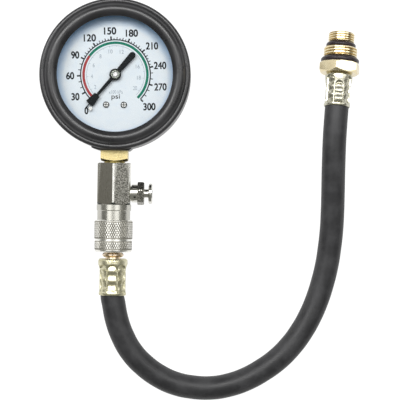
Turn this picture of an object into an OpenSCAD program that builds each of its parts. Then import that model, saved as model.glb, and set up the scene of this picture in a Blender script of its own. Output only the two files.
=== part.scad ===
// Compression tester gauge: a boxed dial gauge with release valve, quick coupler, hose and spark-plug adapter.
// Millimetres. The pointer turns about the Z axis and the stem points to -Y.
// The back of the boot is the plane Z = 0.

/* [Boot] */
// outside radius of the rubber boot
boot_r = 40; // [38:0.5:48]
// thickness of the boot's wall outside the bezel
boot_wall = 5; // [4.4:0.1:7]
// thickness of the boot's closed back
boot_back = 2.5; // [2:0.1:2.8]
// how far the boot's front lip reaches in from the bezel's rim
boot_lip = 4.4; // [4.2:0.1:5.6]
// width of the square collar round the stem
collar_w = 19.6; // [18.4:0.2:22]

/* [Case and dial] */
// thickness of the bezel's skirt round the case
bezel_wall = 1; // [0.7:0.1:1.3]
// how far the bezel's lip reaches in over the lens
bezel_lip = 3; // [2.6:0.1:3.2]
// sheet thickness of the case
case_wall = 0.8; // [0.6:0.1:0.9]
// thickness of the lens
lens_t = 2; // [1.5:0.1:2]
// thickness of the dial plate
dial_t = 0.6; // [0.4:0.1:0.6]
// half the distance between the two dial screws
dial_screw_x = 4.7; // [4.4:0.1:5]
// length of the pointer from its axis to the tip
pointer_len = 23.9; // [23:0.1:26]

/* [Movement] */
// module of the gear teeth
tooth_module = 0.3; // [0.28:0.01:0.3]
// length of the sector's tail from pivot to link
tail_len = 5; // [4.8:0.1:5.2]
// mean radius of the Bourdon tube
tube_r = 23; // [22.6:0.1:23.4]
// radial thickness of the Bourdon tube
tube_w = 3.2; // [2.8:0.1:3.4]

/* [Stem and block] */
// width across the flats of the square stem
stem_w = 14.4; // [13.6:0.2:14.8]
// length of square stem that shows below the boot
stem_show = 6; // [5:0.5:9]
// distance from the block's lower end up to the release valve
valve_up = 5.9; // [5.6:0.1:7]
// width across the flats of the hexagonal block
block_af = 17.6; // [17.2:0.2:19]
// length of the hexagonal block
block_len = 22; // [21:0.5:28]

/* [Release valve] */
// radius of the push button
button_r = 5.5; // [5:0.1:7]
// how far the button can be pressed
button_travel = 2; // [1.6:0.1:2.2]
// radius of the valve's hexagonal collar, over its corners
valve_collar_r = 6.4; // [5.4:0.1:6.6]

/* [Coupler] */
// outside radius of the knurled sleeve
sleeve_r = 10.25; // [10.1:0.05:11.5]
// how far the sleeve slides back
sleeve_travel = 4; // [3.6:0.1:4]
// radius of the plug's shank
plug_r = 4.5; // [4.3:0.05:4.6]
// radius of one locking ball
ball_r = 1.6; // [1.5:0.02:1.64]

/* [Hose] */
// outside radius of the hose
hose_r = 6.5; // [6.2:0.05:6.5]
// radius of the hose's bore
hose_bore_r = 3.2; // [2.9:0.05:3.4]
// length of the ferrule at the gauge end
gauge_ferrule_len = 19.6; // [18:0.2:21]
// length of the ferrule at the adapter end
adapter_ferrule_len = 18; // [17:0.2:20]

/* [Adapter] */
// width across the flats of the adapter's hexagon
adapter_af = 20; // [18.4:0.2:20.8]
// radius of the small thread, a 14 mm spark plug's
small_thread_r = 7; // [6.8:0.05:7.2]
// radius of the large thread, an 18 mm spark plug's
large_thread_r = 9; // [8.8:0.05:9.2]
// length of each thread
thread_len = 5.45; // [4.9:0.05:5.8]

/* [Hidden] */
$fn = 72;

// fits
run = 0.05;   // radial clearance of what slides or turns
seat = 0.02;  // clearance of what is fixed

// colours
rubber = [0.20, 0.20, 0.22];
brass = [0.80, 0.64, 0.30];
steel = [0.66, 0.67, 0.70];
nickel = [0.82, 0.83, 0.85];
white = [0.92, 0.94, 0.97];
black = [0.08, 0.08, 0.09];
glass = [0.85, 0.92, 0.96, 0.4];

// heights above the table, from the back of the boot to its lip
stem_z = 13;
floor_z = boot_back + case_wall;
tongue_z = 8;
low_plate_z = tongue_z;
plate_t = 1;
sector_z = 11;
sector_t = 1;
link_z = sector_z + sector_t + 0.1;
top_plate_z = 15;
dial_z = 19.4;
face_z = dial_z + dial_t;
pointer_z = 21.6;
pointer_t = 0.6;
rim_z = 24;
gasket_z = rim_z + lens_t;
gasket_t = 0.6;
bezel_z = gasket_z + gasket_t;
bezel_t = 0.8;
lip_z = bezel_z + bezel_t;
skirt_z = 20.6;
bezel_r = boot_r - boot_wall;
case_r = bezel_r - bezel_wall;
window_r = bezel_r - boot_lip;
lens_hold_r = case_r - bezel_lip;
gasket_w = 2.6;

// the boot's front: a round hump, and a thin ridge outside it
hump_r = 3.2;
hump_at = [boot_r - 6, lip_z - 0.6];
ridge_r = 1.6;
ridge_at = [boot_r - ridge_r, lip_z - 1.5];
heel_r = 3;

// distances down the stem from the pointer's axis
neck_r = 6;
thread_r = 5;
stem_end_r = thread_r + 1.3;
neck_len = 0.8;
flange_len = 3.6;
sleeve_room = 0.9;
spring_at = 1.1;
land_at = 7.7;
land_len = 6;
ball_at = 3.5;
sleeve_len = 17.2;
groove_at = 10.2;
nose_in = 1;
collar_gap = 0.3;
collar_len = 2.3;
plug_neck_len = 0.9;
d_square = bezel_r + 0.2;
d_stem = boot_r + stem_show;
d_block = d_stem + neck_len;
d_coupler = d_block + block_len;
d_valve = d_coupler - valve_up;
d_barrel = d_coupler + flange_len;
d_sleeve = d_barrel + sleeve_travel + sleeve_room;
d_shoulder = d_sleeve + spring_at;
d_land = d_sleeve + land_at;
d_ball = d_land + ball_at;
d_land_end = d_land + land_len;
d_sleeve_end = d_sleeve + sleeve_len;
d_nose = d_sleeve_end - nose_in;
d_collar = d_sleeve_end + collar_gap;
d_ferrule = d_collar + collar_len + plug_neck_len;
d_mouth = d_ferrule + gauge_ferrule_len;

// gears: a ten-tooth pinion, and a sector cut as if it had eighty teeth
pinion_teeth = 10;
sector_teeth = 80;
pressure = 20;
backlash = 0.05;
pinion_pr = tooth_module * pinion_teeth / 2;
sector_pr = tooth_module * sector_teeth / 2;
pivot = [0, -(pinion_pr + sector_pr)];
pivot_r = 0.8;
zero_angle = 229.5;
tail_angle = 253;
tail_pin = pivot + tail_len * [cos(tail_angle), sin(tail_angle)];
link_len = 16;
tip_pin = tail_pin + [link_len, 0];
pin_r = 0.6;
pillar_x = 6;
pillar_y = -11;
pillar_r = 1.3;
rivet_r = 0.8;
plate_w = 2.2;
pivot_boss_r = 4.2;
plate_screw_x = 3.5;
plate_screw_r = 0.8;
plate_head_r = 1.5;
dial_screw_y = -16;
dial_screw_r = 0.95;
dial_head_r = 1.7;
stud_x = 5.4;
stud_r = 0.5;
collet_r = 1.6;
stop_at = 22.4;
stop_r = 1;
stop_rivet_r = 0.6;
stop_turn = 5.5;

// the Bourdon tube runs clockwise from the socket to its tip
tube_h = 8;
tube_wall = 0.35;
tube_root = 262;
tube_tip = -38;
socket_w = 14;
socket_in = tube_r - 2;
plate_screw_y = -(socket_in - 2.5);
socket_out = sqrt(pow(case_r - case_wall, 2) - pow(socket_w / 2, 2)) - 0.2;
case_screw_x = 4.2;
case_screw_y = -(socket_in + socket_out) / 2;
case_screw_r = 1;
case_screw_len = 5;

// coupler
sleeve_wall = 1.4;
barrel_r = sleeve_r - sleeve_wall;
nose_r = 7;
tenon_r = 3.9;
tenon_len = 3;
passage_r = 1.5;
ring_t = 1.2;
ring_out = 1;
ring_in = 0.4;
ring_room = 1.5;
groove_w = 0.9;
groove_deep = 0.45;
sleeve_step = 0.2;
edge = 0.5;
land_r = nose_r + 2 * run;
ball_ring_r = nose_r - ball_r;
ball_count = 6;
plug_bore_r = plug_r + run;
seal_r = 0.7;
d_seal = d_ball - 3.9;

// release valve, distances out from the block's flat
flat_x = block_af / 2;
boss_r = 4.9;
boss_neck = 0.7;
boss_len = 3;
shank_r = 3;
shank_len = 3.8;
valve_bore_r = 1.3;
valve_head_r = 2.2;
valve_head_t = 0.8;
valve_rod_r = 1;
valve_collar_len = 3.5;
valve_collar_af = valve_collar_r * sqrt(3);
collar_turn = 44;
button_stem_r = 2.45;
button_t = 2;
button_gap = 0.4;
release_coil_len = 3.5;
valve_seat_x = flat_x - shank_len;
spring_seat_x = flat_x + 1.7;
spring_top_x = spring_seat_x + release_coil_len;
collar_x = flat_x + boss_neck + boss_len + 0.1;
collar_end_x = collar_x + valve_collar_len;
button_x = collar_end_x + button_travel + button_gap;

// hose ends are squeezed inside the ferrules
squeezed_r = hose_r - 0.65;
barb_r = hose_bore_r - 0.15;
tail_neck_r = 4;
wall_t = 1.5;
mouth_len = 2.5;

// adapter: s runs along its axis from the middle of the large ring towards the nose
pitch = 7;
yaw = 3.5;
hex_turn = 17.5;
large_ring_t = 1.45;
large_ring_r = large_thread_r - 0.2;
small_ring_t = 1.35;
small_ring_r = small_thread_r - 0.4;
adapter_z = max(
  large_ring_r * cos(pitch) + large_ring_t + 0.05,
  adapter_af / sqrt(3) * cos(30 - hex_turn) * cos(pitch) - 0.2
);
adapter_at = [119.9, 127.75 - d_mouth, adapter_z];
adapter_dir = [sin(yaw) * cos(pitch), cos(yaw) * cos(pitch), -sin(pitch)];
hex_s = -large_ring_t - 0.05;
hex_back_s = hex_s - 5.7;
mouth_s = hex_back_s - adapter_ferrule_len;
small_ring_s = large_ring_t + thread_len + small_ring_t + 0.05;
nose_s = small_ring_s + small_ring_t + thread_len;
core_r = 3.15;
core_s = nose_s - 9;
core_end_s = nose_s - 2;
core_step_s = core_s + 3;
check_rod_r = 0.75;

// the hose's way over the table, from mouth to mouth: X, distance past the mouth, height
way = [
  [0.8, 4.5, 13], [2.6, 13.1, 12.7], [5.9, 22, 12.1], [10.9, 30.5, 11.3], [17.6, 37.5, 10.4],
  [25.6, 43.2, 9.4], [34.5, 47.2, 8.4], [44, 49.1, 7.5], [54, 49.4, 6.9], [63.5, 47.7, 6.6],
  [72.5, 44.4, 6.55], [81, 39.6, 6.55], [89.1, 33.6, 6.55], [95.9, 26.6, 6.55], [101.7, 18.6, 6.55],
  [106.4, 10, 6.55], [110.1, 1, 6.55], [112.9, -8.4, 6.8], [115, -17.9, 7.3], [116.3, -27.6, 8],
  [117.1, -37.3, 9], [117.35, -47, 10.2], [117.35, -56.7, 11.6], [117.25, -66.4, 12.9],
  [117.25, -76, 14.2], [117.4, -85.6, 14.9], [117.8, -94, 14.9]
];
hose_sides = 12;
function past_mouth(p) = [p[0], -d_mouth - p[1], p[2]];
function on_axis(s) = adapter_at + s * adapter_dir;
hose_line = concat(
  [for (d = [d_ferrule + wall_t, d_mouth - mouth_len, d_mouth]) [0, -d, stem_z]],
  [for (p = way) past_mouth(p)],
  [for (s = [mouth_s, mouth_s + mouth_len, hex_back_s - wall_t]) on_axis(s)]
);
hose_radii = concat(
  [squeezed_r, squeezed_r],
  [for (i = [4 : len(hose_line) - 1]) hose_r],
  [squeezed_r, squeezed_r]
);

// placing
module on_stem(d) {
  translate([0, -d, stem_z]) rotate([90, 0, 0]) children();
}

module on_valve(x) {
  translate([x, -d_valve, stem_z]) rotate([0, 90, 0]) children();
}

module on_adapter(s) {
  translate(adapter_at) rotate([-90 - pitch, 0, -yaw]) translate([0, 0, s]) children();
}

// a flat bar with round ends
module bar(a, b, r) {
  translate(a) circle(r = r, $fn = 40);
  translate(b) circle(r = r, $fn = 40);
  translate(a) rotate(atan2(b[1] - a[1], b[0] - a[0])) translate([0, -r]) square([norm(b - a), 2 * r]);
}

module tube_between(z, h, r_in, r_out) {
  translate([0, 0, z]) difference() {
    cylinder(h = h, r = r_out);
    translate([0, 0, -1]) cylinder(h = h + 2, r = r_in);
  }
}

// a round bar with both end edges turned off
module chamfered(h, r, c) {
  rotate_extrude() polygon([[0, 0], [r - c, 0], [r, c], [r, h - c], [r - c, h], [0, h]]);
}

module torus(ring_r, wire_r) {
  rotate_extrude() translate([ring_r, 0]) circle(r = wire_r, $fn = 32);
}

// a hexagonal bar turned over its corners by cut
// the low end goes down to low_r, the high end just over the corners
module hex_bar(h, af, low_r, cut) {
  corner_r = af / sqrt(3);
  land_r = corner_r - cut;
  high_c = (corner_r - af / 2) * 0.62;
  intersection() {
    cylinder(h = h, r = corner_r, $fn = 6);
    rotate_extrude() polygon([
      [0, 0],
      [low_r, 0],
      [land_r, (land_r - low_r) * 0.8],
      [land_r, h - high_c],
      [land_r - high_c, h],
      [0, h]
    ]);
  }
}

// sweeping a round section along a line of points; bore 0 makes a solid rod
function unit(v) = v / norm(v);
function way_dir(line, i) = unit(line[min(i + 1, len(line) - 1)] - line[max(i - 1, 0)]);
function ring_points(p, t, r, sides) =
  let (side = unit(cross(t, [0, 0, 1])), up = cross(side, t))
  [for (k = [0 : sides - 1]) p + r * (cos(360 * k / sides) * side + sin(360 * k / sides) * up)];
function skin(from, i, sides, inward) = [
  for (k = [0 : sides - 1])
    let (m = (k + 1) % sides, a = from + i * sides, b = a + sides)
    each inward
      ? [[a + k, b + m, a + m], [a + k, b + k, b + m]]
      : [[a + k, a + m, b + m], [a + k, b + m, b + k]]
];

module swept(line, radii, bore, sides) {
  n = len(line);
  outer = [for (i = [0 : n - 1]) each ring_points(line[i], way_dir(line, i), radii[i], sides)];
  inner = bore > 0
    ? [for (i = [0 : n - 1]) each ring_points(line[i], way_dir(line, i), bore, sides)]
    : [];
  s = n * sides;
  e = (n - 1) * sides;
  outside = [for (i = [0 : n - 2]) each skin(0, i, sides, false)];
  inside = bore > 0 ? [for (i = [0 : n - 2]) each skin(s, i, sides, true)] : [];
  ends = bore > 0
    ? [
        for (k = [0 : sides - 1])
          let (m = (k + 1) % sides)
          each [
            [m, k, s + k], [m, s + k, s + m],
            [e + k, e + m, s + e + m], [e + k, s + e + m, s + e + k]
          ]
      ]
    : [[for (k = [sides - 1 : -1 : 0]) k], [for (k = [0 : sides - 1]) e + k]];
  polyhedron(points = concat(outer, inner), faces = concat(outside, inside, ends), convexity = 8);
}

// a coil spring standing on Z = 0
module coil(h, r, wire_r, turns) {
  steps = ceil(turns * 16);
  line = [
    for (i = [0 : steps])
      let (a = 360 * turns * i / steps)
      [r * cos(a), r * sin(a), wire_r + (h - 2 * wire_r) * i / steps]
  ];
  swept(line, [for (p = line) wire_r], 0, 6);
}

// involute teeth
function spread(r, base) = let (t = sqrt(max(0, pow(r / base, 2) - 1))) t * 180 / PI - atan(t);
function half_angle(r, pr, teeth) =
  let (base = pr * cos(pressure))
  90 / teeth - backlash / 2 / pr * 180 / PI + spread(pr, base) - spread(max(r, base), base);
function polar(r, a) = [r * cos(a), r * sin(a)];
function tooth(mid, radii, pr, teeth) = concat(
  [for (r = radii) polar(r, mid - half_angle(r, pr, teeth))],
  [for (k = [len(radii) - 1 : -1 : 0]) polar(radii[k], mid + half_angle(radii[k], pr, teeth))]
);
function tooth_radii(low, base, high) = concat(
  [low],
  [for (k = [0 : 4]) max(low + 0.01, base) + (high - max(low + 0.01, base)) * k / 4]
);

// gauge

module boot_section() {
  difference() {
    union() {
      square([boot_r - heel_r, ridge_at[1]]);
      translate([0, heel_r]) square([boot_r, ridge_at[1] - heel_r]);
      translate([boot_r - heel_r, heel_r]) circle(r = heel_r, $fn = 64);
      translate(ridge_at) circle(r = ridge_r, $fn = 64);
      translate(hump_at) circle(r = hump_r, $fn = 96);
      polygon([
        [window_r, lip_z - 1],
        [window_r, lip_z + 0.5],
        [hump_at[0] - hump_r * 0.64, hump_at[1] + hump_r * 0.77],
        [hump_at[0], lip_z - 1]
      ]);
      polygon([
        hump_at + polar(hump_r, 30),
        ridge_at + polar(ridge_r, 120),
        ridge_at,
        [hump_at[0], ridge_at[1]]
      ]);
    }
    translate([-1, boot_back]) square([case_r + run + 1, skirt_z - boot_back]);
    translate([-1, skirt_z - 0.3]) square([bezel_r + run + 1, lip_z - skirt_z + 0.3]);
    translate([-1, lip_z - 0.1]) square([window_r + 1, 10]);
  }
}

module boot() {
  color(rubber) difference() {
    union() {
      rotate_extrude($fn = 120) boot_section();
      translate([0, 0, stem_z - collar_w / 2]) linear_extrude(collar_w) polygon([
        [-collar_w / 2 - 2.2, -bezel_r - 1],
        [-collar_w / 2 - 2.2, -boot_r + 1.2],
        [-collar_w / 2 - 1.7, -boot_r + 0.8],
        [-stem_w / 2 - 0.7, -boot_r - 0.3],
        [stem_w / 2 + 0.7, -boot_r - 0.3],
        [collar_w / 2, -boot_r + 1.4],
        [collar_w / 2, -bezel_r - 1]
      ]);
    }
    on_stem(case_r - 3) linear_extrude(boot_r) square(stem_w + 0.2, center = true);
  }
}

module case() {
  color(steel) difference() {
    rotate_extrude($fn = 120) polygon([
      [0, boot_back],
      [case_r, boot_back],
      [case_r, rim_z],
      [case_r - case_wall, rim_z],
      [case_r - case_wall, floor_z],
      [0, floor_z]
    ]);
    on_stem(case_r - 3) cylinder(h = 6, r = neck_r + run);
    for (x = [-1, 1]) translate([x * case_screw_x, case_screw_y, 0])
      cylinder(h = 10, r = case_screw_r + run);
  }
}

// two flush screws that hold the socket against the case's floor
module case_screws() {
  color(steel) for (x = [-1, 1]) translate([x * case_screw_x, case_screw_y, boot_back])
    cylinder(h = case_screw_len, r = case_screw_r);
}

module bezel_ring() {
  color(steel) rotate_extrude($fn = 120) polygon([
    [case_r + seat, skirt_z],
    [bezel_r, skirt_z],
    [bezel_r, lip_z],
    [lens_hold_r, lip_z],
    [lens_hold_r, bezel_z],
    [case_r + seat, bezel_z]
  ]);
}

module lens() {
  color(glass) translate([0, 0, rim_z]) cylinder(h = lens_t, r = case_r, $fn = 120);
}

module lens_gasket() {
  color(black) tube_between(gasket_z, gasket_t, case_r - gasket_w, case_r);
}

module dial() {
  color(white) translate([0, 0, dial_z]) difference() {
    cylinder(h = dial_t, r = case_r - case_wall - 0.7, $fn = 120);
    translate([0, 0, -1]) cylinder(h = 4, r = 2.6);
    for (x = [-1, 1]) translate([x * dial_screw_x, dial_screw_y, -1]) cylinder(h = 4, r = dial_screw_r + run);
    rotate(zero_angle + stop_turn) translate([stop_at, 0, -1]) cylinder(h = 4, r = stop_rivet_r + seat);
  }
}

module dial_posts() {
  color(brass) for (x = [-1, 1]) translate([x * dial_screw_x, dial_screw_y, 0])
    difference() {
      translate([0, 0, top_plate_z + plate_t]) cylinder(h = dial_z - top_plate_z - plate_t, r = 1.8);
      translate([0, 0, dial_z - 2.6]) cylinder(h = 4, r = dial_screw_r + seat);
    }
}

module dial_screws() {
  color(nickel) for (x = [-1, 1]) translate([x * dial_screw_x, dial_screw_y, 0])
    difference() {
      union() {
        translate([0, 0, dial_z - 2.5]) cylinder(h = 2.5 + dial_t, r = dial_screw_r);
        translate([0, 0, face_z]) cylinder(h = 0.5, r = dial_head_r);
        translate([0, 0, face_z + 0.5]) cylinder(h = 0.4, r1 = dial_head_r, r2 = dial_head_r - 0.5);
      }
      translate([0, 0, face_z + 0.7]) cube([0.4, 4, 0.6], center = true);
      translate([0, 0, face_z + 0.7]) cube([4, 0.4, 0.6], center = true);
    }
}

// the pin that the pointer comes back to, riveted in the dial
module stop_pin() {
  color(steel) rotate(zero_angle + stop_turn) translate([stop_at, 0, 0]) {
    translate([0, 0, dial_z]) cylinder(h = dial_t, r = stop_rivet_r);
    translate([0, 0, face_z]) cylinder(h = 2.3, r = stop_r);
  }
}

module pointer_outline() {
  circle(r = 3.1);
  polygon([[-13.6, -1.7], [0, -1.2], [0, 1.2], [-13.6, 1.7]]);
  translate([-13.6, 0]) circle(r = 1.7);
  polygon([[0, -1.05], [14.6, -0.7], [14.6, 0.7], [0, 1.05]]);
  polygon([
    [14.4, -1.65], [20.7, -2.35], [21, -0.28], [pointer_len, -0.28],
    [pointer_len, 0.28], [21, 0.28], [20.7, 2.35], [14.4, 1.65]
  ]);
}

module pointer() {
  color(black) rotate(zero_angle) translate([0, 0, pointer_z]) difference() {
    linear_extrude(pointer_t) pointer_outline();
    translate([0, 0, -1]) cylinder(h = 3, r = 1.5 + seat);
  }
}

module pointer_bush() {
  color(nickel) difference() {
    union() {
      translate([0, 0, pointer_z - 0.8]) cylinder(h = 0.8, r = 2.4);
      translate([0, 0, pointer_z]) cylinder(h = pointer_t, r = 1.5);
      translate([0, 0, pointer_z + pointer_t]) cylinder(h = 0.6, r = 2.55);
      translate([0, 0, pointer_z + pointer_t + 0.6]) cylinder(h = 0.3, r1 = 2.55, r2 = 2.1);
    }
    translate([0, 0, pointer_z - 1]) cylinder(h = 2.1, r = pivot_r + seat);
    tube_between(pointer_z + pointer_t + 0.7, 1, 1.2, 1.6);
  }
}

module pinion_arbor() {
  base = pinion_pr * cos(pressure);
  low = pinion_pr - 0.75 * tooth_module;
  high = pinion_pr + tooth_module;
  color(steel) {
    translate([0, 0, low_plate_z + 0.1]) cylinder(h = pointer_z + 1 - low_plate_z - 0.1, r = pivot_r);
    translate([0, 0, sector_z - 0.5]) linear_extrude(sector_t + 1) polygon([
      for (i = [0 : pinion_teeth - 1])
        each tooth(270 + (i + 0.5) * 360 / pinion_teeth, tooth_radii(low, base, high), pinion_pr, pinion_teeth)
    ]);
    translate([0, 0, sector_z + 2]) cylinder(h = 1, r = collet_r);
  }
}

// the sector swings on its own arbor and carries the link's pin on its tail
module sector_gear() {
  base = sector_pr * cos(pressure);
  low = sector_pr - 1.25 * tooth_module;
  high = sector_pr + 0.55 * tooth_module;
  step = 360 / sector_teeth;
  color(brass) translate(pivot) {
    translate([0, 0, sector_z]) linear_extrude(sector_t) {
      difference() {
        polygon(concat(
          [[0, 0]],
          [for (i = [-10 : 2]) each tooth(90 + i * step, tooth_radii(low, base, high), sector_pr, sector_teeth)]
        ));
        rotate(72) polygon([[5.4, -1.1], [9.6, -2.6], [9.6, 2.6], [5.4, 1.1]]);
      }
      circle(r = 2.4);
      bar([0, 0], tail_pin - pivot, 1.3);
    }
    translate([0, 0, low_plate_z + 0.1])
      cylinder(h = top_plate_z + plate_t - low_plate_z - 0.2, r = pivot_r);
  }
  color(brass) translate([tail_pin[0], tail_pin[1], sector_z]) cylinder(h = sector_t + 1.2, r = pin_r);
}

module link() {
  color(brass) translate([0, 0, link_z]) linear_extrude(0.6) difference() {
    bar(tail_pin, tip_pin, 1.2);
    translate(tail_pin) circle(r = pin_r + run);
    translate(tip_pin) circle(r = pin_r + run);
  }
}

// a flat spiral from the arbor's collet to the stud under the top plate
module hairspring() {
  turns = 4;
  steps = turns * 20;
  thick = 0.16;
  first = collet_r + seat;
  last = stud_x - stud_r - thick - seat;
  function reach(i) = first + (last - first) * i / steps;
  color(steel) translate([0, 0, sector_z + 2.2]) linear_extrude(0.6) polygon(concat(
    [for (i = [0 : steps]) polar(reach(i) + thick, 360 * turns * i / steps)],
    [for (i = [steps : -1 : 0]) polar(reach(i), 360 * turns * i / steps)]
  ));
}

module tube_section(w, h) {
  for (y = [-1, 1]) translate([tube_r, stem_z + y * (h - w) / 2]) circle(r = w / 2, $fn = 40);
  translate([tube_r - w / 2, stem_z - (h - w) / 2]) square([w, h - w]);
}

module bourdon_tube() {
  end_at = polar(tube_r, tube_tip);
  color(brass) {
    rotate(tube_tip) rotate_extrude(angle = tube_root - tube_tip, $fn = 120) difference() {
      tube_section(tube_w, tube_h);
      tube_section(tube_w - 2 * tube_wall, tube_h - 2 * tube_wall);
    }
    rotate(tube_tip) translate([tube_r - tube_w / 2 - 0.3, -1.8, stem_z - tube_h / 2 - 0.3])
      cube([tube_w + 0.6, 1.8, tube_h + 0.6]);
    translate([0, 0, sector_z]) linear_extrude(sector_t) bar(polar(tube_r, tube_tip - 3), tip_pin, 1.4);
    translate([tip_pin[0], tip_pin[1], sector_z]) cylinder(h = sector_t + 1.2, r = pin_r);
  }
}

// square stem, threaded end and inner block in one piece of brass
module socket() {
  color(brass) difference() {
    union() {
      translate([-socket_w / 2, -socket_out, floor_z])
        cube([socket_w, socket_out - socket_in, 18 - floor_z]);
      translate([-socket_w / 2, -socket_in - 1, floor_z]) cube([socket_w, 9, tongue_z - floor_z]);
      on_stem(socket_in + 6) cylinder(h = d_square - socket_in - 5, r = neck_r);
      on_stem(d_square) intersection() {
        linear_extrude(d_stem - d_square) square(stem_w, center = true);
        rotate_extrude() polygon([
          [0, 0],
          [stem_w, 0],
          [stem_w, d_stem - d_square - 0.4 * (stem_w - stem_end_r)],
          [stem_end_r, d_stem - d_square],
          [0, d_stem - d_square]
        ]);
      }
      on_stem(d_stem - 1) cylinder(h = neck_len + 1, r = thread_r + 0.65 - seat);
      on_stem(d_stem) cylinder(h = d_block - d_stem + 8.2, r = thread_r);
    }
    on_stem(tube_r) cylinder(h = d_block + 9 - tube_r, r = 1.5);
    translate([-6, -tube_r, stem_z]) rotate([0, 90, 0]) cylinder(h = 6, r = 1.2);
    rotate(tube_root - 20) rotate_extrude(angle = 20.2, $fn = 120)
      tube_section(tube_w + 2 * seat, tube_h + 2 * seat);
    for (x = [-1, 1]) translate([x * case_screw_x, case_screw_y, 0])
      cylinder(h = boot_back + case_screw_len + 0.2, r = case_screw_r + seat);
    for (x = [-1, 1]) translate([x * plate_screw_x, plate_screw_y, tongue_z - 2.6])
      cylinder(h = 4, r = plate_screw_r + seat);
  }
}

module bottom_plate() {
  color(brass) translate([0, 0, low_plate_z]) linear_extrude(plate_t) difference() {
    union() {
      bar([0, 0], [0, -socket_in + pivot_boss_r + 0.3], pivot_boss_r);
      bar([-pillar_x, pillar_y], [pillar_x, pillar_y], plate_w);
      bar([-plate_screw_x, plate_screw_y], [plate_screw_x, plate_screw_y], plate_w);
    }
    circle(r = pivot_r + run);
    translate(pivot) circle(r = pivot_r + run);
    for (x = [-1, 1]) translate([x * pillar_x, pillar_y]) circle(r = rivet_r + seat);
    for (x = [-1, 1]) translate([x * plate_screw_x, plate_screw_y]) circle(r = plate_screw_r + seat);
  }
}

module top_plate() {
  color(brass) {
    translate([0, 0, top_plate_z]) linear_extrude(plate_t) difference() {
      union() {
        bar([0, 0], pivot, pivot_boss_r - 1);
        bar([-pillar_x, pillar_y], [pillar_x, pillar_y], plate_w);
        bar([0, 0], [stud_x, 0], stud_r + 0.7);
        for (x = [-1, 1]) bar([x * dial_screw_x, pillar_y], [x * dial_screw_x, dial_screw_y], plate_w);
      }
      circle(r = pivot_r + run);
      translate(pivot) circle(r = pivot_r + run);
      for (x = [-1, 1]) translate([x * pillar_x, pillar_y]) circle(r = rivet_r + seat);
    }
    translate([stud_x, 0, sector_z + 2.2]) cylinder(h = top_plate_z - sector_z - 2.2, r = stud_r);
  }
}

module plate_pillars() {
  color(brass) for (x = [-1, 1]) translate([x * pillar_x, pillar_y, 0]) {
    translate([0, 0, low_plate_z]) cylinder(h = top_plate_z + plate_t - low_plate_z, r = rivet_r);
    translate([0, 0, low_plate_z + plate_t]) cylinder(h = top_plate_z - low_plate_z - plate_t, r = pillar_r);
  }
}

module plate_screws() {
  color(steel) for (x = [-1, 1]) translate([x * plate_screw_x, plate_screw_y, 0]) difference() {
    union() {
      translate([0, 0, tongue_z - 2.5]) cylinder(h = 2.5 + plate_t, r = plate_screw_r);
      translate([0, 0, low_plate_z + plate_t]) cylinder(h = 0.9, r = plate_head_r);
    }
    translate([0, 0, low_plate_z + plate_t + 0.9]) cube([4, 0.4, 0.8], center = true);
  }
}

// block and release valve

module valve_block() {
  color(steel) difference() {
    on_stem(d_block) rotate(30) hex_bar(block_len, block_af, block_af * 0.53, 0.27);
    on_stem(d_block - 1) cylinder(h = 9.4, r = thread_r + seat);
    on_stem(d_block) cylinder(h = block_len + 1, r = 2);
    on_stem(d_coupler - tenon_len - 0.1) cylinder(h = 5, r = tenon_r + seat);
    on_valve(valve_seat_x) cylinder(h = 10, r = shank_r + seat);
    on_valve(0) cylinder(h = valve_seat_x + 1, r = 2.6);
  }
}

// threaded shank, grooved boss with its vent hole, and hexagonal collar
module release_body() {
  color(steel) difference() {
    union() {
      on_valve(valve_seat_x) cylinder(h = shank_len, r = shank_r);
      on_valve(flat_x) cylinder(h = boss_neck, r = boss_r - 0.7);
      on_valve(flat_x + boss_neck) cylinder(h = boss_len, r = boss_r);
      on_valve(flat_x + boss_neck + boss_len) cylinder(h = 0.2, r = boss_r - edge);
      on_valve(collar_x) rotate(collar_turn)
        hex_bar(valve_collar_len, valve_collar_af, valve_collar_af * 0.54, 0.1);
    }
    on_valve(valve_seat_x - 1) cylinder(h = spring_seat_x - valve_seat_x + 2, r = valve_bore_r);
    on_valve(spring_seat_x) cylinder(h = 10, r = button_stem_r + run);
    on_valve(flat_x + 2.4) rotate([0, 0, 180 + 24]) rotate([0, 90, 0]) cylinder(h = 10, r = 0.6, $fn = 24);
  }
}

// push button, stem, rod and valve head in one turned piece
module release_button() {
  color(nickel) {
    on_valve(button_x) chamfered(button_t, button_r, 0.4);
    on_valve(spring_top_x) cylinder(h = button_x - spring_top_x, r = button_stem_r);
    on_valve(valve_seat_x - valve_head_t)
      cylinder(h = spring_top_x - valve_seat_x + valve_head_t, r = valve_rod_r);
    on_valve(valve_seat_x - 2 * valve_head_t) cylinder(h = valve_head_t, r = valve_head_r);
  }
}

module release_spring() {
  color(steel) on_valve(spring_seat_x) coil(release_coil_len, button_stem_r - 0.6, 0.25, 3.5);
}

module release_seal() {
  color(black) on_valve(valve_seat_x - valve_head_t)
    tube_between(0, valve_head_t, valve_rod_r + seat, valve_head_r + 0.1);
}

// coupler

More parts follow.
